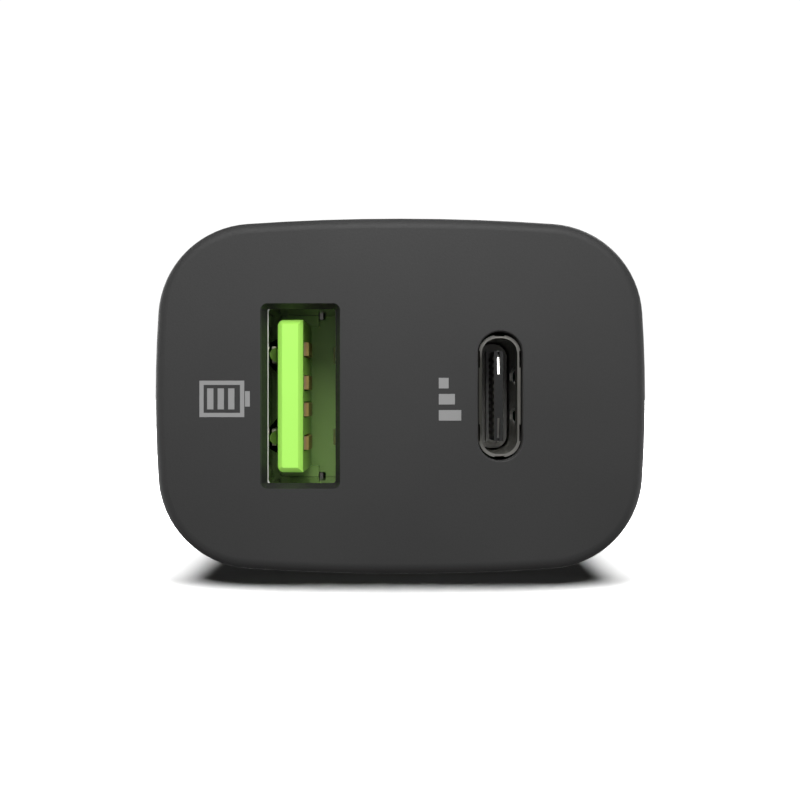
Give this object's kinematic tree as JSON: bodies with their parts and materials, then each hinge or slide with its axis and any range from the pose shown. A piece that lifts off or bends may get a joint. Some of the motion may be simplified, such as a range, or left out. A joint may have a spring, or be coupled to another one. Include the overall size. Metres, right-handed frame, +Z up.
{
  "type": "usb wall charger",
  "caption": "Compact block charger with a type A and a type C USB port in its front face and a folding flat-blade mains plug in its rear face.",
  "frame": {"origin": "middle of the flat wall face at the rear, which meets the outlet", "axes": "+Y out of the wall face, along the opened blades; the port face looks along -Y; +Z up as the charger lies on its long side; +X right seen from the port face, where the type C port is"},
  "size_m": [0.0354, 0.0775, 0.0256],
  "materials": {
    "charcoal_plastic": "fine even texture",
    "cover_plastic": "fine even texture",
    "mark_ink": "printed, light grey",
    "carrier_plastic": "satin moulded",
    "blade_metal": "nickel plated brass",
    "retainer_plastic": "moulded",
    "screw_steel": "zinc plated",
    "spring_bronze": "phosphor bronze",
    "lead_red": "insulated wire",
    "lead_black": "insulated wire",
    "shell_steel": "nickel plated",
    "lime_plastic": "moulded, lime green",
    "contact_gold": "gold plated",
    "black_plastic": "moulded",
    "board_green": "solder mask",
    "ferrite": "ferrite",
    "bobbin_plastic": "moulded",
    "copper_winding": "enamelled copper",
    "yellow_tape": "polyester tape",
    "capacitor_sleeve": "shrink sleeve",
    "capacitor_can": "satin",
    "fuse_body": "glazed",
    "opto_plastic": "moulded",
    "y_cap_blue": "dipped",
    "resistor_black": "chip",
    "spreader_aluminium": "plain",
    "pad_grey": "soft silicone",
    "sheet_film": "polyester film"
  },
  "bodies": {
    "charger": {"board_link_pins": "contact_gold", "bridge_rectifier": "black_plastic", "bulk_capacitors": "capacitor_sleeve", "chip_resistors": "resistor_black", "controller_chip": "black_plastic", "front_housing": "charcoal_plastic", "heat_spreader": "spreader_aluminium", "input_choke": "ferrite", "input_fuse": "fuse_body", "insulation_sheet": "sheet_film", "lower_contact_spring": "spring_bronze", "lower_lead": "lead_black", "main_board": "board_green", "optocoupler": "opto_plastic", "output_capacitors": "capacitor_can", "output_inductor": "ferrite", "pivot_retainer": "retainer_plastic", "port_board": "board_green", "port_marks": "mark_ink", "protocol_chips": "black_plastic", "rear_cover": "cover_plastic", "retainer_screws": "screw_steel", "sync_rectifier_chip": "black_plastic", "thermal_pad": "pad_grey", "transformer_bobbin": "bobbin_plastic", "transformer_core": "ferrite", "transformer_tape": "yellow_tape", "transformer_winding": "copper_winding", "upper_contact_spring": "spring_bronze", "upper_lead": "lead_red", "usb_a_insulator": "lime_plastic", "usb_a_shell": "shell_steel", "usb_a_tails": "contact_gold", "usb_c_contacts": "contact_gold", "usb_c_insulator": "black_plastic", "usb_c_mid_plate": "shell_steel", "usb_c_shell": "shell_steel", "y_capacitor": "y_cap_blue"},
    "folding_plug": {"blade_carrier": "carrier_plastic", "upper_blade": "blade_metal", "lower_blade": "blade_metal"},
    "type_a_contacts": {"usb_a_contacts": "contact_gold"},
    "type_a_left_fingers": {"usb_a_left_springs": "shell_steel"},
    "type_a_right_fingers": {"usb_a_right_springs": "shell_steel"}
  },
  "joints": [
    {"name": "plug_fold", "type": "hinge", "parent": "charger", "child": "folding_plug", "pos_m": [0.0065, -0.0035, 0], "axis": [0, 0, 1], "range_deg": [0, 90]},
    {"name": "type_a_contact_flex", "type": "hinge", "parent": "charger", "child": "type_a_contacts", "pos_m": [-0.0074, -0.05158, 0], "axis": [0, 0, -1], "range_deg": [0, 3], "stiffness_Nm_per_rad": 0.05},
    {"name": "type_a_left_finger_flex", "type": "hinge", "parent": "charger", "child": "type_a_left_fingers", "pos_m": [-0.00974, -0.0528, 0], "axis": [0, 0, -1], "range_deg": [0, 3], "stiffness_Nm_per_rad": 0.05},
    {"name": "type_a_right_finger_flex", "type": "hinge", "parent": "charger", "child": "type_a_right_fingers", "pos_m": [-0.00456, -0.0528, 0], "axis": [0, 0, 1], "range_deg": [0, 3], "stiffness_Nm_per_rad": 0.05}
  ]
}
